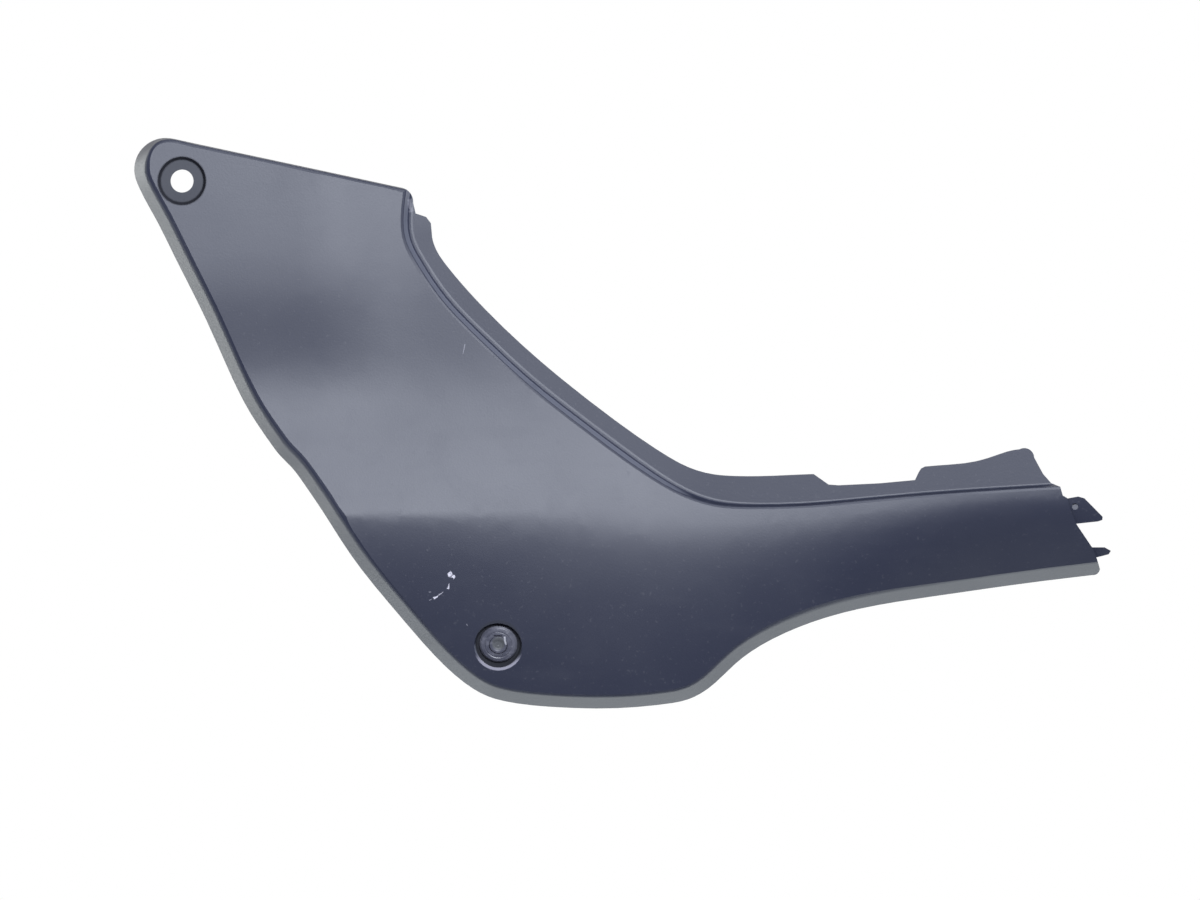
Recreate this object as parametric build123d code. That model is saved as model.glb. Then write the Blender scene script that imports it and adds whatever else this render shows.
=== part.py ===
from build123d import *
import math
import os

# Side cover of a motorcycle: one moulded shell with a push rivet left in its
# lower seat. Millimetres. The cover is drawn face up (x along it, y up it,
# z outward) about the upper screw hole, then stood upright at the end with
# the hole's centre on its seat face as origin: X along the cover, Z up, outer
# face towards -Y.

# Room for the cutting shapes below, above and beside the cover
clear_below = 90.0
clear_above = 60.0
clear_beside = 30.0
drill_below = 40.0
drill_above = 12.0
clear_corner = (40.0, -8.5)

# Moulding
wall = 2.5
rim_depth = 12.0
reach_out = 20.0

# Crown of the skin: a level lobe, a hollow below it, a ridge, a falling panel
ridge_height = 5.0
ridge_level = -133.6
ridge_lift = 3.6
ridge_lift_from = 178.0
ridge_lift_to = 236.0
arm_rise = 0.078
ridge_turn_width = 8.0
hollow_slope = 0.18
hollow_slope_right = 0.10
hollow_changes = (60.0, 160.0)
hollow_above_ridge = 52.0
lobe_above_ridge = 92.0
lobe_changes = (55.0, 95.0)
crown_turn_width = 6.0
lobe_slope = 0.15
lobe_slope_right = 0.04
panel_first_slope = 0.08
panel_first_slope_right = -0.04
panel_changes = (60.0, 200.0)
panel_fall = 0.72
panel_ease = 60.0
arm_fall = 1.10
arm_ease = 11.0
arm_fall_changes = (150.0, 330.0)
arm_ease_changes = (200.0, 330.0)
ridge_softness = 0.15
arm_softness = 1.4
softness_changes = (150.0, 236.0)

# Extent of the skin, wider than the cover, and the rows and columns that carry it
skin_above_ridge = 175.0
skin_below_ridge = 102.0
skin_left = -42.0
skin_column_gap = 14.0
skin_columns = 31
first_row_gap = 0.7
row_growth = 1.4
widest_row_gap = 12.0
slope_gap = 0.5

# Spacing of the sections along the rim and the flange, and facets across a roll
station_gap = 6.5
round_steps = 4
inner_station_gap = 9.0
inner_round_steps = 2

# Rolled rim: width seen from outside, height and radius of the roll
rim_run = 4.9
rim_drop = 10.5
rim_roll = 3.2
arm_roll = 8.0
top_run = 0.4
top_roll = 1.0
roll_break = 20.0
inner_break = 25.0
roll_sink = 0.25
roll_lead = 2.2
least_roll = 0.4
fold_probe = 1.5
arm_roll_changes = (215.0, 262.0)
below_rim = 1.6
outside_rim = (4.0, 1.0)
above_roll = (0.8, 5.0)

# Stepped flange along the hollow side
step_drop = 4.0
step_run = 2.1
step_roll = 1.2
step_foot = 2.6
arm_step_drop = 2.8
arm_step_run = 0.8
arm_step_roll = 0.7
arm_step_foot = 0.9
arm_step_changes = (170.0, 240.0)
inner_foot = 1.0
flange_tilt = 0.10

# Seats
seat_radius = 9.6
seat_floor_radius = 8.6
hole_radius = 4.6
upper_seat_depth = 2.4
lower_seat_depth = 3.0
lower_seat_x = 126.4
lower_seat_y = -186.0
rivet_hole_radius = 4.1
cup_wall = 2.0
gusset_length = 7.0
gusset_thickness = 1.6
gusset_lift = 0.3
gusset_root = 0.6
gusset_top = 4.0
seat_above = 1.5
upper_gusset_turn = 20.0

# Arm ribs inside and end tongues
arm_ribs_x = (262.0, 290.0, 318.0)
arm_rib_height = 3.0
arm_rib_thickness = 1.6
rib_slice = 90.0
rib_slice_middle = (-145.0, -20.0)
tongue_sink = 1.8
tongue_thickness = 2.5
dimple_radius = 1.3
dimple_depth = 0.9
dimple_x = 357.2
dimple_y = -130.2

# Push rivet
rivet_head_radius = 7.6
rivet_head_height = 1.8
rivet_head_dome = 0.5
rivet_ring_radius = 5.4
rivet_shank_radius = 3.95
rivet_barb_radius = 4.6
rivet_shank_length = 11.0
rivet_tip_radius = 3.0
rivet_tip_length = 3.0
rivet_slot = 1.2
rivet_bore_radius = 2.3
rivet_socket_radius = 3.75
rivet_socket_depth = 1.2
pin_head_radius = 3.55
pin_head_height = 1.2
pin_dish_depth = 0.45
pin_dish_radius = 2.6
pin_shank_radius = 2.2
pin_length = 12.6

# Plan outline, going left along the top edge and round the rim
top_right = (87.6, -2.5)
top_corner_mid = (91.2, -4.7)
top_corner_end = (92.4, -8.6)
top_left = (-4.0, 17.1)
lobe_mid = (-15.6, 13.7)
lobe_end = (-18.4, 0.0)
rim_points = (
    (-14.4, -8.4), (-10.8, -14.8), (-4.4, -27.6), (8.4, -53.2), (18.4, -75.6),
    (26.4, -91.6), (34.6, -104.0), (39.6, -110.4), (43.6, -114.4), (48.6, -121.0),
    (54.8, -130.0), (67.2, -149.2), (87.6, -174.8), (104.8, -194.0),
    (112.6, -200.8), (121.6, -206.2), (132.0, -209.0), (149.6, -210.8),
    (173.6, -211.2), (192.8, -209.6), (203.2, -207.4), (212.0, -202.2),
    (221.6, -193.2), (240.8, -181.2), (264.8, -172.8), (303.2, -166.0),
    (346.4, -160.0), (364.8, -157.8))
end_corner_mid = (367.0, -157.0)
end_corner = (367.7, -155.4)
end_points = ((366.2, -151.0), (364.4, -146.8), (357.9, -137.4), (355.6, -132.0), (354.0, -126.8))
shoulder_points = ((352.2, -125.8), (351.2, -122.3), (347.6, -120.8), (344.4, -117.2))
peak_side = (340.8, -110.6)
peak_mid = (339.2, -107.6)
peak_end = (335.0, -107.3)
peak_points = ((330.8, -108.0), (323.6, -110.4), (316.0, -112.4), (306.0, -113.5), (297.2, -114.2))
gap_points = (
    (295.6, -115.0), (294.6, -116.6), (293.2, -119.6),
    (279.2, -120.9), (262.6, -121.7), (258.6, -121.4),
)
tab_top = (252.6, -117.2)
flange_points = (
    (236.0, -117.9), (221.6, -118.0), (212.0, -117.2), (202.4, -114.4), (192.8, -109.2),
    (173.6, -96.0), (154.4, -81.2), (135.2, -64.8), (120.8, -50.8), (106.0, -34.0),
    (101.6, -27.4), (100.0, -22.4))
notch_points = ((99.5, -16.8), (97.6, -14.3), (93.4, -12.9))

# Fold between the panel and the flange, from the top corner to the arm's end
fold_points = (
    (90.4, 6.0), (89.2, -6.0), (88.4, -16.0), (89.2, -23.0), (93.6, -32.4), (103.6, -47.2),
    (119.2, -63.6), (139.2, -82.0), (156.4, -95.6), (172.0, -107.4), (187.2, -118.0),
    (200.4, -125.4), (213.0, -129.4), (228.0, -130.4), (253.2, -129.6), (271.2, -128.0),
    (302.4, -125.2), (326.4, -123.6), (346.0, -122.4), (364.0, -121.6))

# Tongues at the arm's end
upper_tongue = (
    (344.0, -127.4), (354.0, -127.0), (358.4, -126.2), (360.9, -126.9),
    (368.3, -134.3), (368.2, -135.6), (366.4, -136.2), (344.0, -138.6))
lower_tongue = (
    (352.0, -146.4), (364.2, -146.6), (369.4, -146.6), (371.9, -148.0),
    (371.0, -149.4), (366.4, -150.6), (352.0, -152.0))


def soft_ramp(distance, width):
    """Zero before the start, rising one for one after it, rounded over the width."""
    ratio = distance / width
    return width * (ratio if ratio > 40 else math.log1p(math.exp(ratio)))


def blend(value, start, end):
    """Smooth 0 to 1 between start and end."""
    t = min(1.0, max(0.0, (value - start) / (end - start)))
    return t * t * (3 - 2 * t)


def mixed(first, second, share):
    return first + (second - first) * share


def ridge_line(x):
    """Height up the cover of the ridge: level, then following the arm."""
    lifted = ridge_level + ridge_lift * blend(x, ridge_lift_from, ridge_lift_to)
    return lifted + arm_rise * soft_ramp(x - ridge_lift_to, ridge_turn_width)


def upper_crown(x, up):
    """Skin above the ridge: falls into the hollow, climbs to the level lobe."""
    fall = mixed(hollow_slope, hollow_slope_right, blend(x, *hollow_changes))
    climb = mixed(lobe_slope, lobe_slope_right, blend(x, *lobe_changes))
    bend = soft_ramp(up - hollow_above_ridge, crown_turn_width)
    level = soft_ramp(up - lobe_above_ridge, crown_turn_width)
    return ridge_height - fall * up + (fall + climb) * bend - climb * level


def lower_crown(x, down):
    """Skin below the ridge: falls away ever more steeply."""
    first = mixed(panel_first_slope, panel_first_slope_right, blend(x, *panel_changes))
    fall = mixed(panel_fall, arm_fall, blend(x, *arm_fall_changes))
    ease = mixed(panel_ease, arm_ease, blend(x, *arm_ease_changes))
    eased = max(down, 0.0)
    return ridge_height - first * down - fall * (eased - ease * math.log1p(eased / ease))


def crown(x, y):
    """Outward height of the outer skin: the two crowns met in a soft ridge."""
    down = ridge_line(x) - y
    soft = mixed(ridge_softness, arm_softness, blend(x, *softness_changes))
    above = upper_crown(x, -down)
    below = lower_crown(x, down)
    low = min(above, below)
    return low - soft * math.log(math.exp((low - above) / soft) + math.exp((low - below) / soft))


def crown_slopes(x, y):
    """Slopes of the skin along x and up y."""
    along = (crown(x + slope_gap, y) - crown(x - slope_gap, y)) / (2 * slope_gap)
    up = (crown(x, y + slope_gap) - crown(x, y - slope_gap)) / (2 * slope_gap)
    return along, up


def growing_rows(limit):
    """Distances from the ridge, close together beside it and wider away from it."""
    rows = []
    gap = first_row_gap
    while not rows or rows[-1] < limit:
        rows.append((rows[-1] if rows else 0.0) + gap)
        gap = min(gap * row_growth, widest_row_gap)
    return rows


def skin_face(depth):
    """The skin as one smooth face, moved in square to itself by depth."""
    rows = [-gap for gap in reversed(growing_rows(skin_above_ridge))] + [0.0] + growing_rows(skin_below_ridge)
    columns = [skin_left + skin_column_gap * i for i in range(skin_columns)]
    spread = [i / (skin_columns - 1) for i in range(skin_columns)]
    curves = []
    for down in rows:
        points = []
        for x in columns:
            y = ridge_line(x) - down
            along, up = crown_slopes(x, y)
            sink = depth * math.sqrt(1 + along * along + up * up)
            points.append(Vector(x, y, crown(x, y) - sink))
        curves.append(Wire([Edge.make_spline(points, parameters=spread)]))
    return Shell.make_loft(curves, ruled=False).faces()[0]


def slab(depth, thickness):
    """Solid under the skin moved in by depth."""
    return Solid.extrude(skin_face(depth), Vector(0, 0, -thickness))


def column(outline):
    """Plan outline drawn out well above and below the cover."""
    footprint = Pos(0, 0, -clear_below) * make_face(outline)
    return extrude(footprint, amount=clear_below + clear_above, dir=(0, 0, 1))


def rim_edges():
    """Top edge, rounded lobe and the long curved rim, in order."""
    top = Line(top_right, top_left)
    lobe = ThreePointArc(top_left, lobe_mid, lobe_end)
    side = Spline(lobe_end, *rim_points)
    return top, lobe, side


def plan_outline():
    """Whole silhouette of the panel with its flange."""
    pieces = list(rim_edges())
    pieces.append(ThreePointArc(rim_points[-1], end_corner_mid, end_corner))
    pieces.append(Polyline(end_corner, *end_points, *shoulder_points, peak_side))
    pieces.append(ThreePointArc(peak_side, peak_mid, peak_end))
    pieces.append(Spline(peak_end, *peak_points))
    pieces.append(Polyline(peak_points[-1], *gap_points, tab_top))
    pieces.append(Spline(tab_top, *flange_points))
    pieces.append(Polyline(flange_points[-1], *notch_points, top_corner_end))
    pieces.append(ThreePointArc(top_corner_end, top_corner_mid, top_right))
    edges = [edge for piece in pieces for edge in piece.edges()]
    return Wire(edges)


def moved_in(curve, distance, count):
    """Points along a rim curve, each moved square to it into the cover."""
    points = []
    for i in range(count + 1):
        place = curve.position_at(i / count)
        along = curve.tangent_at(i / count)
        points.append(place + Vector(-along.Y, along.X, 0) * distance)
    return points


def hollow_outline():
    """Plan of the hollow: inside the rim wall, open past the flange and the end."""
    top, lobe, side = rim_edges()
    points = moved_in(top, wall, 6)[2:-1] + moved_in(lobe, wall, 8) + moved_in(side, wall, 60)[1:]
    inner = Spline(*points)
    start, last = points[0], points[-1]
    corner = Vector(start.X, start.Y) + Vector(*clear_corner)
    right = last.X + clear_beside
    loop = Polyline(last, (right, last.Y), (right, clear_beside), (corner.X, clear_beside), corner, start)
    return Wire([*inner.edges(), *loop.edges()])


def bisected(depth, steep, flat):
    """Corner of two lines at angles steep and flat when both move in by depth."""
    half = (steep - flat) / 2
    mean = (steep + flat) / 2
    return Vector(math.sin(mean), -math.cos(mean)) * (depth / math.cos(half))


def roll_points(corner, steep, slope_angle, radius, breaking):
    """Foot, middle and head of a roll on a steep face, then a lead through the skin."""
    head_angle = slope_angle + math.radians(breaking)
    slope = math.tan(slope_angle)
    lift = (math.cos(head_angle) - math.cos(steep)) - slope * (math.sin(steep) - math.sin(head_angle))
    back = (radius * lift + roll_sink) / (math.sin(steep) - slope * math.cos(steep))
    foot = corner - Vector(math.cos(steep), math.sin(steep)) * back
    centre = foot - Vector(-math.sin(steep), math.cos(steep)) * radius
    middle_angle = (steep + head_angle) / 2
    middle = centre + Vector(-math.sin(middle_angle), math.cos(middle_angle)) * radius
    head = centre + Vector(-math.sin(head_angle), math.cos(head_angle)) * radius
    reach = roll_lead * roll_sink / math.sin(math.radians(breaking))
    lead = head + Vector(math.cos(head_angle), math.sin(head_angle)) * reach
    return foot, middle, head, lead


def foot_points(corner, steep, flat, radius):
    """Hollow round between a steep face and the flange at its foot."""
    back = radius * math.tan((steep - flat) / 2)
    on_flange = corner - Vector(math.cos(flat), math.sin(flat)) * back
    on_face = corner + Vector(math.cos(steep), math.sin(steep)) * back
    centre = on_flange + Vector(-math.sin(flat), math.cos(flat)) * radius
    mean = (steep + flat) / 2
    middle = centre + Vector(math.sin(mean), -math.cos(mean)) * radius
    return on_flange, middle, on_face


def section(place, inward, run, drop, roll, depth, flange):
    """Closed cutter section standing on the fold; flange is (tilt, foot radius, reach)."""
    steps = inner_round_steps if depth > 0 else round_steps
    near = place + inward * fold_probe
    along, up = crown_slopes(near.X, near.Y)
    slope_angle = math.atan(along * inward.X + up * inward.Y)
    steep = math.atan2(drop, run)
    corner = bisected(depth, steep, slope_angle)
    breaking = inner_break if depth > 0 else roll_break
    bend = max(roll - depth, least_roll)
    foot, middle, head, lead = roll_points(corner, steep, slope_angle, bend, breaking)
    if flange:
        tilt, foot_radius, reach = flange
        flat = -math.atan(tilt)
        base = Vector(-run, -drop) + bisected(depth, steep, flat)
        radius = inner_foot if depth > 0 else foot_radius
        on_flange, foot_middle, on_face = foot_points(base, steep, flat, radius)
        far = on_flange - Vector(math.cos(flat), math.sin(flat)) * reach
    else:
        on_face = corner - Vector(run, drop) * below_rim
        far = on_face - Vector(*outside_rim)
    inner_roof = lead + Vector(*above_roll)
    outer_roof = Vector(far.X, inner_roof.Y)
    profile = [far]
    if flange:
        profile += arc_steps(on_flange, foot_middle, on_face, steps)
    else:
        profile.append(on_face)
    profile += arc_steps(foot, middle, head, steps)
    profile += [lead, inner_roof, outer_roof]
    return [place + inward * spot.X + Vector(0, 0, spot.Y) for spot in profile]


def arc_steps(start, middle, end, steps):
    """Points along a round given by three of its points."""
    arc = Edge.make_three_point_arc(start, middle, end)
    return [arc.position_at(i / steps) for i in range(steps + 1)]


def skinned(sections):
    """Closed solid through matching sections: long faces side by side and two flat ends."""
    spread = [i / (len(sections) - 1) for i in range(len(sections))]
    corners = range(len(sections[0]))
    curves = [Edge.make_spline([points[k] for points in sections], parameters=spread) for k in corners]
    faces = [Face.make_surface_from_curves(curves[k - 1], curves[k]) for k in corners]
    faces += [Face(Wire.make_polygon(points, close=True)) for points in (sections[0], sections[-1])]
    return Solid(Shell(Face.sew_faces(faces)[0]))


def rim_stations(gap):
    """Evenly spaced places along the whole rim: name, share, place, way in, way along."""
    stations = []
    for name, curve in zip(("top", "lobe", "side"), rim_edges()):
        count = round(curve.length / gap)
        for i in range(count + 1):
            if i == 0 and name != "top":
                continue
            along = curve.tangent_at(i / count)
            place = curve.position_at(i / count)
            stations.append((name, i / count, place, Vector(-along.Y, along.X, 0), along))
    name, share, place, inward, along = stations[0]
    stations.insert(0, (name, share, place - along * gap, inward, along))
    name, share, place, inward, along = stations[-1]
    stations.append((name, share, place + along * gap, inward, along))
    return stations


def rim_cutter(depth):
    """Everything outside the rolled rim face, moved in by depth."""
    sections = []
    gap = inner_station_gap if depth > 0 else station_gap
    for name, share, place, inward, along in rim_stations(gap):
        if name == "top":
            run, roll = top_run, top_roll
        elif name == "lobe":
            run = mixed(top_run, rim_run, blend(share, 0.0, 0.75))
            roll = mixed(top_roll, rim_roll, blend(share, 0.2, 0.9))
        else:
            run = rim_run
            roll = mixed(rim_roll, arm_roll, blend(place.X, *arm_roll_changes))
        fold = place + inward * run
        fold = Vector(fold.X, fold.Y, crown(fold.X, fold.Y))
        sections.append(section(fold, inward, run, rim_drop, roll, depth, None))
    return skinned(sections)


def flange_cutter(depth):
    """Everything outside the step and above the flange, moved in by depth."""
    fold = Spline(*fold_points)
    gap = inner_station_gap if depth > 0 else station_gap
    count = round(fold.length / gap)
    sections = []
    for i in range(count + 1):
        place = fold.position_at(i / count)
        along = fold.tangent_at(i / count)
        inward = Vector(along.Y, -along.X, 0)
        arm = blend(place.X, *arm_step_changes)
        run = mixed(step_run, arm_step_run, arm)
        drop = mixed(step_drop, arm_step_drop, arm)
        roll = mixed(step_roll, arm_step_roll, arm)
        foot = mixed(step_foot, arm_step_foot, arm)
        start = Vector(place.X, place.Y, crown(place.X, place.Y))
        sections.append(section(start, inward, run, drop, roll, depth, (flange_tilt, foot, reach_out)))
    return skinned(sections)


def lower_seat_frame():
    """Location on the skin at the lower seat, its axis square to the skin."""
    along, up = crown_slopes(lower_seat_x, lower_seat_y)
    origin = (lower_seat_x, lower_seat_y, crown(lower_seat_x, lower_seat_y))
    return Plane(origin=origin, x_dir=(1, 0, along), z_dir=(-along, -up, 1))


def upper_seat_frame():
    return Plane(origin=(0, 0, crown(0, 0)), x_dir=(1, 0, 0), z_dir=(0, 0, 1))


def drum(frame, radius, bottom, top):
    """Cylinder on a seat axis between two heights."""
    grown = Cylinder(radius, top - bottom, align=(Align.CENTER, Align.CENTER, Align.MIN))
    return frame.location * Pos(0, 0, bottom) * grown


def seat_bowl(frame, depth):
    """Round recess with a slightly opening wall, cut from its floor up past the skin."""
    opening = (seat_radius - seat_floor_radius) / depth
    bowl = Cone(seat_floor_radius, seat_radius + opening * seat_above, depth + seat_above,
                align=(Align.CENTER, Align.CENTER, Align.MIN))
    return frame.location * Pos(0, 0, -depth) * bowl


def gussets(frame, seat_depth, turn):
    """Four small triangular plates from a seat cup out to the skin, inside the cover."""
    root = seat_radius + cup_wall - gusset_root
    tip = root + gusset_length
    low = -seat_depth - wall + gusset_lift
    profile = Polyline((root, gusset_top), (root, low), (tip, -wall), (tip, gusset_top), close=True)
    plate = extrude(Plane.XZ * make_face(profile), gusset_thickness / 2, both=True)
    return [frame.location * Rot(0, 0, turn + 90 * i) * plate for i in range(4)]


def arm_ribs():
    """Low cross ribs inside the arm."""
    under = slab(0.0, wall + arm_rib_height)
    slice_box = Box(arm_rib_thickness, rib_slice, rib_slice)
    return [under & (Pos(x, *rib_slice_middle) * slice_box) for x in arm_ribs_x]


def outer_body():
    """Solid block with the outer faces of the cover."""
    body = slab(0.0, rim_depth) & column(plan_outline())
    body = body - rim_cutter(0.0)
    body = body - flange_cutter(0.0)
    upper = upper_seat_frame()
    lower = lower_seat_frame()
    body = body - seat_bowl(upper, upper_seat_depth)
    body = body - drum(upper, hole_radius, -drill_below, drill_above)
    body = body - seat_bowl(lower, lower_seat_depth)
    return body - drum(lower, rivet_hole_radius, -drill_below, drill_above)


def hollow_body():
    """Everything inside the walls; cups, gussets and ribs are left standing in it."""
    hollow = slab(wall, rim_depth + clear_beside) & column(hollow_outline())
    hollow = hollow - rim_cutter(wall)
    hollow = hollow - flange_cutter(wall)
    upper = upper_seat_frame()
    lower = lower_seat_frame()
    hollow = hollow - drum(upper, seat_radius + cup_wall, -upper_seat_depth - wall, drill_above)
    hollow = hollow - drum(lower, seat_radius + cup_wall, -lower_seat_depth - wall, drill_above)
    for plate in gussets(upper, upper_seat_depth, upper_gusset_turn) + gussets(lower, lower_seat_depth, 45.0):
        hollow = hollow - plate
    for rib in arm_ribs():
        hollow = hollow - rib
    return hollow


def tongue(outline):
    """Sunk plate carrying on from under the arm's end."""
    return slab(tongue_sink, tongue_thickness) & column(Polyline(*outline, close=True))


def side_cover():
    cover = outer_body() - hollow_body()
    cover = cover + tongue(upper_tongue)
    cover = cover + tongue(lower_tongue)
    dimple_floor = crown(dimple_x, dimple_y) - tongue_sink - dimple_depth
    dimple = Pos(dimple_x, dimple_y, dimple_floor) * Cylinder(
        dimple_radius, 8, align=(Align.CENTER, Align.CENTER, Align.MIN))
    return cover - dimple


def lathed(points):
    """Solid of revolution about z from radius and height points."""
    return revolve(Plane.XZ * make_face(Polyline(*points, close=True)), axis=Axis.Z)


def rivet_body():
    """Flanged body with four split legs, its head on the floor of the lower seat."""
    top = rivet_head_height
    low = -rivet_shank_length
    barb_top = -wall - 0.6
    profile = [
        (rivet_bore_radius, low - rivet_tip_length), (rivet_tip_radius, low - rivet_tip_length),
        (rivet_barb_radius, low + 3.0), (rivet_barb_radius, barb_top - 1.2),
        (rivet_shank_radius, barb_top), (rivet_shank_radius, 0), (rivet_head_radius, 0),
        (rivet_head_radius, top - 0.7), (rivet_head_radius - 0.8, top),
        (rivet_ring_radius + 0.3, top + rivet_head_dome * 0.5),
        (rivet_ring_radius, top + rivet_head_dome * 0.2),
        (rivet_ring_radius - 0.3, top + rivet_head_dome * 0.7),
        (rivet_socket_radius, top + rivet_head_dome),
        (rivet_socket_radius, top + rivet_head_dome - rivet_socket_depth),
        (rivet_bore_radius, top + rivet_head_dome - rivet_socket_depth)]
    body = lathed(profile)
    slot_height = rivet_shank_length + rivet_tip_length - wall - 1.5
    slot = Pos(0, 0, low - rivet_tip_length + slot_height / 2 - 0.5) * Box(20, rivet_slot, slot_height + 1)
    body = body - slot - Rot(0, 0, 90) * slot
    for side in (-1, 1):
        notch = Pos(0, side * rivet_socket_radius, top + rivet_head_dome) * Box(3.4, 1.1, 1.6)
        body = body - notch
    return body


def rivet_pin():
    """Centre pin pressed home in the rivet body."""
    head_low = rivet_head_height + rivet_head_dome - rivet_socket_depth
    head_top = head_low + pin_head_height
    low = head_top - pin_length
    profile = [
        (0, low), (pin_shank_radius - 0.7, low), (pin_shank_radius, low + 1.2), (pin_shank_radius, head_low),
        (pin_head_radius, head_low), (pin_head_radius, head_top - 0.25), (pin_head_radius - 0.25, head_top),
        (pin_dish_radius, head_top), (pin_dish_radius * 0.6, head_top - pin_dish_depth * 0.8),
        (0, head_top - pin_dish_depth)]
    return lathed(profile)


def stood_up(shape):
    """Seat face of the upper hole to the origin, then upright with the outer face towards -Y."""
    return Rot(90, 0, 0) * Pos(0, 0, upper_seat_depth - crown(0, 0)) * shape


if __name__ == "__main__":
    os.makedirs("parts", exist_ok=True)
    in_seat = lower_seat_frame().location * Pos(0, 0, -lower_seat_depth)
    export_step(stood_up(side_cover()), "parts/side_cover.step")
    export_step(stood_up(in_seat * rivet_body()), "parts/rivet_body.step")
    export_step(stood_up(in_seat * rivet_pin()), "parts/rivet_pin.step")
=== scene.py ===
import bpy
import math
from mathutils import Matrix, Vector

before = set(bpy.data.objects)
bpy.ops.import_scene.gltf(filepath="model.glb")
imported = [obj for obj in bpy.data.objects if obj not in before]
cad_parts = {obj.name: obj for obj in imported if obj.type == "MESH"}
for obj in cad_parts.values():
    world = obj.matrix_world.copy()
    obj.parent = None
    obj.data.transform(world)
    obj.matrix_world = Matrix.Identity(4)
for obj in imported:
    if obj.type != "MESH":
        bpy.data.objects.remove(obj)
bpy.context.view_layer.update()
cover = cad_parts["side_cover"]
rivet_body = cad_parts["rivet_body"]
rivet_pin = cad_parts["rivet_pin"]

# The photo's frame: pixels, metres to the pixel, and the place of the upper hole, which is the origin
photo_width = 1200
photo_height = 900
hole_column = 182
hole_row = 181
pixel = 0.0004
photo_middle = ((photo_width / 2 - hole_column) * pixel, 0.0, (hole_row - photo_height / 2) * pixel)

# Camera and floor in metres, the camera's sensor in millimetres
camera_distance = 7.0
sensor_width = 36.0
floor_level = -0.62
floor_half_width = 2.4

# Centres as (x, z) in metres, seen from the front; the rivet leans, so its head is a little above its seat
upper_seat = (0.0, 0.0)
lower_seat = (0.1265, -0.1859)
rivet_head = (0.1265, -0.1850)

# Radii around these centres, in metres, where each edge of a mask starts and ends
seat_edge = (0.0088, 0.0098)
# Radii of the painted shade rings at the upper seat's wall and in the gap round the rivet
upper_wall_inside = (0.0080, 0.0088)
upper_wall_outside = (0.0094, 0.0102)
rivet_gap_inside = (0.0068, 0.0074)
rivet_gap_outside = (0.0088, 0.0092)
# Radii of the painted highlight on the lower seat's edge
lit_edge_inside = (0.0087, 0.0091)
lit_edge_outside = (0.0098, 0.0102)
pin_edge = (0.0020, 0.0030)
# Radii of the painted shade at the rivet head's edge
head_edge = (0.0073, 0.0078)

# How far below the lower seat's centre the painted highlight on its edge begins, and reaches full strength
lit_edge_drop = (0.0030, 0.0070)

# Radians of wave to the metre, so that the rings on the rivet's head are 1 mm apart
ring_wave = 6300.0

# Shine of both plastics, on the shader's scale where 0.5 is plain
plastic_specular = 0.9

# Colours of the cover's plastic, of its dust and wear, and of its painted highlights and painted shade
clean_plastic = (0.019, 0.023, 0.044, 1)
dusty_plastic = (0.036, 0.040, 0.060, 1)
speck_grey = (0.22, 0.22, 0.23, 1)
# Painted highlight on the step wall
step_highlight_grey = (0.185, 0.195, 0.235, 1)
# Painted sheen on the left roll
roll_sheen_grey = (0.085, 0.090, 0.105, 1)
# Painted shade on the seats' floors and, darker, at their walls
seat_floor_shade = (0.012, 0.015, 0.026, 1)
seat_wall_shade = (0.003, 0.004, 0.010, 1)
# Painted highlight on the lower seat's lower edge
seat_edge_highlight = (0.42, 0.41, 0.47, 1)
scuff_white = (0.80, 0.78, 0.84, 1)

# Colours of the rivet's nylon and its wear, with a painted highlight on the pin and painted shade at the
# head's edge
nylon_dark = (0.080, 0.082, 0.105, 1)
nylon_worn = (0.22, 0.22, 0.25, 1)
pin_grey = (0.125, 0.130, 0.115, 1)
# Painted highlight on the pin
pin_highlight_pale = (0.62, 0.62, 0.64, 1)
# Painted shade at the head's edge
head_edge_shade = (0.020, 0.021, 0.028, 1)

# Colours of the studio
white = (1, 1, 1, 1)
floor_pale = (0.86, 0.86, 0.86, 1)
floor_paler = (0.90, 0.90, 0.90, 1)
floor_unseen = (0.07, 0.075, 0.12, 1)
front_tone = (0.032, 0.038, 0.095, 1)

# Scuffs of the outer face: start, end, width, softness, taper, strength
cover_scuffs = (
    ((0.1065, -0.1567), (0.1091, -0.1590), 0.0012, 0.0016, 0.4, 0.95),
    ((0.1064, -0.1633), (0.1069, -0.1608), 0.0007, 0.0004, 0.9, 0.80),
    ((0.1006, -0.1671), (0.1030, -0.1654), 0.0008, 0.0005, 0.9, 0.95),
    ((0.1028, -0.1656), (0.1046, -0.1642), 0.0005, 0.0004, 0.8, 0.45),
    ((0.0987, -0.1645), (0.0997, -0.1643), 0.0004, 0.0003, 0.6, 0.22),
    ((0.0988, -0.1677), (0.1004, -0.1671), 0.0004, 0.0003, 0.9, 0.24),
    ((0.1135, -0.1771), (0.1144, -0.1780), 0.0004, 0.0003, 0.6, 0.20),
    ((0.1132, -0.0651), (0.1123, -0.0694), 0.0003, 0.0002, 0.6, 0.30),
    ((0.0907, -0.0070), (0.0918, -0.0126), 0.0014, 0.0014, 0.3, 0.15),
)
# Painted highlight on the rivet's pin: start, end, width, softness, taper
pin_highlight_streak = ((0.1288, -0.1822), (0.1296, -0.1857), 0.0007, 0.0004, 0.5)

# Lamps: name, place, what it is aimed at, width, height, watts, colour
lamps = (
    ("key_softbox", (0.30, -1.38, 0.29), photo_middle, 0.75, 0.45, 29.0, (0.88, 0.92, 1.0)),
    ("top_softbox", (0.25, 0.35, 1.2), photo_middle, 1.2, 0.5, 4.0, (0.96, 0.98, 1.0)),
    ("left_softbox", (-0.85, 0.75, -0.15), photo_middle, 0.6, 0.9, 7.5, (0.96, 1.0, 0.98)),
    ("low_softbox", (0.42, 0.43, -0.60), (0.42, 0.43, 0.0), 2.0, 0.6, 8.4, (0.94, 1.0, 1.0)),
)


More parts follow.
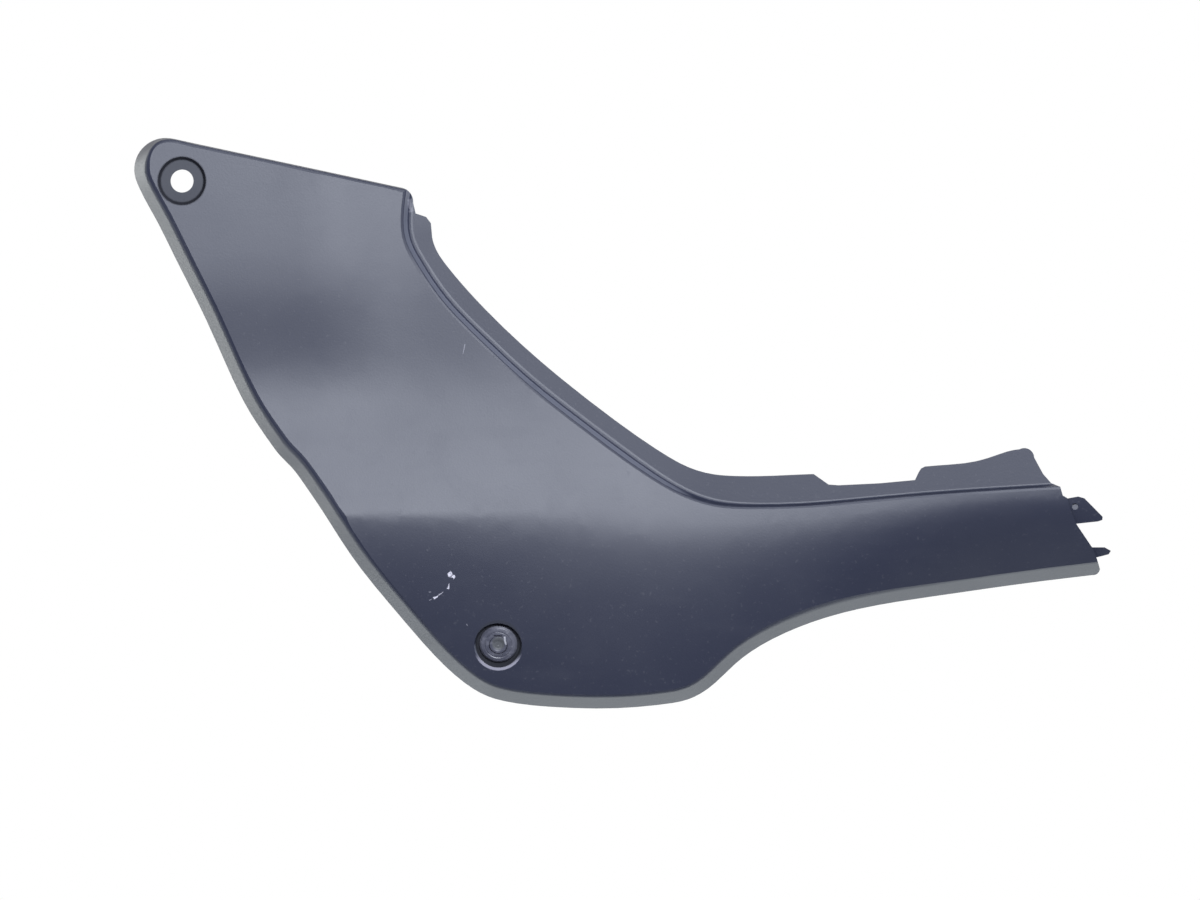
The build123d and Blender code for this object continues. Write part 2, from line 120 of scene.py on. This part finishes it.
class Value:
    """A socket that takes part in plain Python sums."""

    def __init__(self, nodes, socket):
        self.nodes = nodes
        self.socket = socket

    def maths(self, operation, *others):
        return self.nodes.add("ShaderNodeMath", {"operation": operation}, self, *others)

    def __add__(self, other):
        return self.maths("ADD", other)

    def __sub__(self, other):
        return self.maths("SUBTRACT", other)

    def __rsub__(self, other):
        return self.nodes.add("ShaderNodeMath", {"operation": "SUBTRACT"}, other, self)

    def __mul__(self, other):
        return self.maths("MULTIPLY", other)

    def __truediv__(self, other):
        return self.maths("DIVIDE", other)

    __radd__ = __add__
    __rmul__ = __mul__

    def above(self, low, high):
        """0 below low, 1 above high, smooth in between."""
        ramp = {"interpolation_type": "SMOOTHSTEP"}
        return self.nodes.add("ShaderNodeMapRange", ramp, self, low, high, 0.0, 1.0)

    def below(self, low, high):
        """1 below low, 0 above high, smooth in between."""
        return 1.0 - self.above(low, high)

    def band(self, rise, fall):
        """1 from the end of the rise to the start of the fall, 0 outside both."""
        return self.above(*rise) * self.below(*fall)


class Nodes:
    """A node tree, with one way to add any node."""

    def __init__(self, tree):
        self.tree = tree
        self.tree.nodes.clear()

    def add(self, kind, settings, *values, output=None, **named):
        """A new node; its sockets take numbers, colours or links, by place or by name."""
        made = self.tree.nodes.new(kind)
        for key, setting in settings.items():
            setattr(made, key, setting)
        free = [socket for socket in made.inputs if socket.enabled]
        fed = list(zip(free, values)) + [(made.inputs[key], value) for key, value in named.items()]
        for socket, value in fed:
            if isinstance(value, Value):
                self.tree.links.new(value.socket, socket)
            elif value is not None:
                socket.default_value = value
        if output:
            return Value(self, made.outputs[output])
        results = [socket for socket in made.outputs if socket.enabled]
        return Value(self, results[0]) if results else None

    def mix(self, factor, first, second):
        """Colour mix, the first colour at 0 and the second at 1."""
        return self.add("ShaderNodeMix", {"data_type": "RGBA"}, factor, first, second)

    def axes(self, vector):
        """The x, y and z of a vector."""
        split = self.add("ShaderNodeSeparateXYZ", {}, vector)
        return [Value(self, socket) for socket in split.socket.node.outputs]


class Surface(Nodes):
    """One procedural material, laid out on the object's own coordinates."""

    def __init__(self, name):
        self.material = bpy.data.materials.new(name)
        self.material.use_nodes = True
        super().__init__(self.material.node_tree)
        self.place = self.add("ShaderNodeTexCoord", {}, output="Object")

    def noise(self, scale, detail=2.0, roughness=0.5, distortion=0.0, place=None):
        return self.add("ShaderNodeTexNoise", {"noise_dimensions": "3D"}, Vector=place or self.place,
                        Scale=scale, Detail=detail, Roughness=roughness, Distortion=distortion)

    def turned(self, rotation, scale):
        """The object's coordinates, turned and stretched."""
        return self.add("ShaderNodeMapping", {"vector_type": "POINT"}, Vector=self.place,
                        Rotation=rotation, Scale=scale)

    def facing(self):
        """The object's own normal; its y is near -1 on the outer face and near 1 inside."""
        return self.axes(self.add("ShaderNodeTexCoord", {}, output="Normal"))

    def distance_from(self, point):
        """Distance from an (x, z) point, as seen from the front."""
        x, _, z = self.axes(self.place)
        right = x - point[0]
        up = z - point[1]
        return (right * right + up * up).maths("SQRT")

    def bump(self, height, strength, distance, normal=None):
        return self.add("ShaderNodeBump", {}, Height=height, Strength=strength, Distance=distance,
                        Normal=normal)

    def finish(self, color, roughness, normal, specular=0.5):
        shader = self.add("ShaderNodeBsdfPrincipled", {}, **{
            "Base Color": color, "Roughness": roughness, "Normal": normal, "Specular IOR Level": specular})
        self.add("ShaderNodeOutputMaterial", {}, Surface=shader)
        return self.material


def streak(s, start, end, width, softness, taper):
    """Mask of one mark between two (x, z) points in metres, narrower by taper (under 1) at its end."""
    solid_share = 0.3
    fade_share = 0.42
    length = math.dist(start, end)
    turn = math.atan2(end[1] - start[1], end[0] - start[0])
    x, _, z = s.axes(s.place)
    right = x - (start[0] + end[0]) / 2
    up = z - (start[1] + end[1]) / 2
    across = right * -math.sin(turn) + up * math.cos(turn)
    along = right * math.cos(turn) + up * math.sin(turn)
    ragged = (s.noise(scale=650.0, detail=3.0) - 0.5) * (softness * 2.0)
    narrowing = along * (-taper / length) + (1.0 - taper / 2)
    beside = ((across + ragged).maths("ABSOLUTE") / narrowing).below(width * solid_share, width)
    within = along.maths("ABSOLUTE").below(length * fade_share, length / 2)
    return beside * within


def dust_film(s):
    """Dust on the plastic: wide haze, smaller patches and long wipes."""
    haze = s.noise(scale=11.0, detail=4.0, roughness=0.6, distortion=0.4).above(0.38, 0.72)
    patches = s.noise(scale=38.0, detail=5.0, roughness=0.62, distortion=0.8).above(0.5, 0.78)
    wiped_along = s.turned(rotation=(0, 0.55, 0), scale=(1.0, 1.0, 7.0))
    wipes = s.noise(scale=16.0, detail=3.0, place=wiped_along).above(0.5, 0.75)
    dust = haze * 0.30 + patches * 0.22 + wipes * 0.16
    return dust, patches


def lit_step_wall(nx, ny, nz):
    """Mask of the steep wall between panel and flange, found by the way it faces, where a highlight is
    painted.
    """
    return ny.band((-0.80, -0.60), (-0.38, -0.28)) * nx.above(0.30, 0.42) * nz.above(-0.25, -0.05)


def sheen_roll_left(nx, ny):
    """Mask of the rim's roll on the left, where a paler sheen is painted."""
    return ny.band((-0.93, -0.80), (-0.35, -0.20)) * nx.below(-0.45, -0.25)


def seat_rings(s):
    """Masks of painted shade on the seats' floors and in dark rings at their walls, and of a painted
    highlight on the lower edge.
    """
    from_hole = s.distance_from(upper_seat)
    from_seat = s.distance_from(lower_seat)
    from_rivet = s.distance_from(rivet_head)
    _, _, z = s.axes(s.place)
    shaded_floors = from_hole.maths("MINIMUM", from_rivet).below(*seat_edge)
    upper_wall = from_hole.band(upper_wall_inside, upper_wall_outside)
    rivet_gap = from_rivet.above(*rivet_gap_inside) * from_seat.below(*rivet_gap_outside)
    shaded_walls = upper_wall.maths("MAXIMUM", rivet_gap)
    lit_edge = from_seat.band(lit_edge_inside, lit_edge_outside)
    lit_edge = lit_edge * (lower_seat[1] - z).above(*lit_edge_drop)
    return shaded_floors, shaded_walls, lit_edge


def scuffs(s):
    """Mask of all the scuffs, broken up as dry scratches are."""
    mask = None
    for start, end, width, softness, taper, strength in cover_scuffs:
        mark = streak(s, start, end, width, softness, taper) * strength
        mask = mark if mask is None else mask.maths("MAXIMUM", mark)
    return mask * s.noise(scale=900.0, detail=3.0, roughness=0.7).above(0.30, 0.46)


def moulded_cover():
    """Fine grained plastic with dust and scuffs; painted shade in seats, painted highlights on step, roll
    and seat edge.
    """
    s = Surface("cover_plastic")
    nx, ny, nz = s.facing()
    outer = ny.below(-0.15, 0.05)
    dust, patches = dust_film(s)
    specks = s.noise(scale=620.0, detail=2.0, roughness=0.6).above(0.62, 0.76)
    shaded_floors, shaded_walls, lit_edge = [mask * outer for mask in seat_rings(s)]
    marks = scuffs(s) * outer

    color = s.mix(dust, clean_plastic, dusty_plastic)
    color = s.mix(specks * 0.12, color, speck_grey)
    # Painted highlight on the step wall and painted sheen on the left roll
    color = s.mix(lit_step_wall(nx, ny, nz) * (0.9 - patches * 0.3), color, step_highlight_grey)
    color = s.mix(sheen_roll_left(nx, ny) * 0.8, color, roll_sheen_grey)
    # Painted shade in the seats and at their walls, and a painted highlight on the lower seat's edge
    color = s.mix(shaded_floors * 0.85, color, seat_floor_shade)
    color = s.mix(shaded_walls * 0.9, color, seat_wall_shade)
    color = s.mix(lit_edge * 0.9, color, seat_edge_highlight)
    color = s.mix(marks, color, scuff_white)
    roughness = 0.51 + dust * 0.08 + specks * 0.05 + marks * 0.25 + shaded_floors * 0.14 + shaded_walls * 0.2

    grain = s.noise(scale=1500.0, detail=3.0, roughness=0.65)
    stipple = s.add("ShaderNodeTexVoronoi", {"feature": "F1"}, Vector=s.place, Scale=1350.0)
    fine = s.bump(grain * 0.6 + stipple * 0.4, strength=0.22, distance=0.00012)
    normal = s.bump(s.noise(scale=7.0, detail=1.0), strength=0.10, distance=0.004, normal=fine)
    return s.finish(color, roughness, normal, plastic_specular)


def rivet_nylon():
    """Black nylon, worn pale in patches, with turned rings, a painted highlight on the pin and painted
    shade at the head's edge.
    """
    s = Surface("rivet_plastic")
    worn = s.noise(scale=420.0, detail=4.0, roughness=0.6).above(0.48, 0.72)
    smears = s.noise(scale=160.0, detail=3.0, distortion=1.2).above(0.45, 0.75)
    radius = s.distance_from(rivet_head)
    rings = (radius * ring_wave).maths("SINE") * 0.5 + 0.5

    color = s.mix(worn * 0.55 + smears * 0.30, nylon_dark, nylon_worn)
    color = s.mix(radius.below(*pin_edge) * 0.6, color, pin_grey)
    # Painted highlight on the pin, and painted shade at the head's edge
    color = s.mix(streak(s, *pin_highlight_streak) * 0.75, color, pin_highlight_pale)
    color = s.mix(radius.above(*head_edge) * 0.7, color, head_edge_shade)
    roughness = 0.40 + worn * 0.16 + smears * 0.08
    relief = s.noise(scale=2600.0, detail=2.0, roughness=0.6) + rings * 0.7
    return s.finish(color, roughness, s.bump(relief, strength=0.22, distance=0.00009), plastic_specular)


def floor_surface():
    """Pale floor for the camera, apart from the object's shadow; darker for all else."""
    s = Surface("studio_floor")
    cloud = s.noise(scale=3.0)
    seen = s.add("ShaderNodeLightPath", {}, output="Is Camera Ray")
    color = s.mix(seen, floor_unseen, s.mix(cloud, floor_pale, floor_paler))
    return s.finish(color, 0.7 + cloud * 0.1, s.bump(s.noise(scale=60.0), strength=0.05, distance=0.001))


def dress(node, material):
    node.data.materials.clear()
    node.data.materials.append(material)
    for face in node.data.polygons:
        face.material_index = 0


def lay_floor(level, half_width):
    mesh = bpy.data.meshes.new("studio_floor")
    corners = [(-half_width, -half_width, level), (half_width, -half_width, level),
               (half_width, half_width, level), (-half_width, half_width, level)]
    mesh.from_pydata(corners, [], [(0, 1, 2, 3)])
    mesh.materials.append(floor_surface())
    floor = bpy.data.objects.new("studio_floor", mesh)
    bpy.context.scene.collection.objects.link(floor)


def hang_lamp(name, place, target, width, height, power, color):
    lamp = bpy.data.lights.new(name, "AREA")
    lamp.shape = "RECTANGLE"
    lamp.size = width
    lamp.size_y = height
    lamp.energy = power
    lamp.color = color
    hung = bpy.data.objects.new(name, lamp)
    hung.visible_camera = False
    hung.location = place
    hung.rotation_mode = "QUATERNION"
    hung.rotation_quaternion = (Vector(target) - Vector(place)).to_track_quat("-Z", "Y")
    bpy.context.scene.collection.objects.link(hung)


def set_world():
    """White for the camera; for all else, dark in front of the object and white behind it."""
    world = bpy.data.worlds.new("studio")
    bpy.context.scene.world = world
    world.use_nodes = True
    nodes = Nodes(world.node_tree)
    _, y, _ = nodes.axes(nodes.add("ShaderNodeTexCoord", {}, output="Generated"))
    seen = nodes.add("ShaderNodeLightPath", {}, output="Is Camera Ray")
    tone = nodes.mix(seen, nodes.mix(y.above(0.0, 0.6), front_tone, white), white)
    nodes.add("ShaderNodeOutputWorld", {}, Surface=nodes.add("ShaderNodeBackground", {}, Color=tone))


def set_camera(centre, distance, frame_width):
    camera = bpy.data.cameras.new("camera")
    camera.sensor_width = sensor_width
    camera.lens = sensor_width * distance / frame_width
    camera.clip_start = 0.05
    camera.clip_end = 50.0
    held = bpy.data.objects.new("camera", camera)
    held.location = (centre[0], centre[1] - distance, centre[2])
    held.rotation_euler = (math.pi / 2, 0, 0)
    bpy.context.scene.collection.objects.link(held)
    bpy.context.scene.camera = held


dress(cover, moulded_cover())
rivet_finish = rivet_nylon()
dress(rivet_body, rivet_finish)
dress(rivet_pin, rivet_finish)
lay_floor(floor_level, floor_half_width)
for lamp in lamps:
    hang_lamp(*lamp)
set_world()
set_camera(photo_middle, camera_distance, photo_width * pixel)
bpy.context.scene.view_settings.view_transform = "Standard"
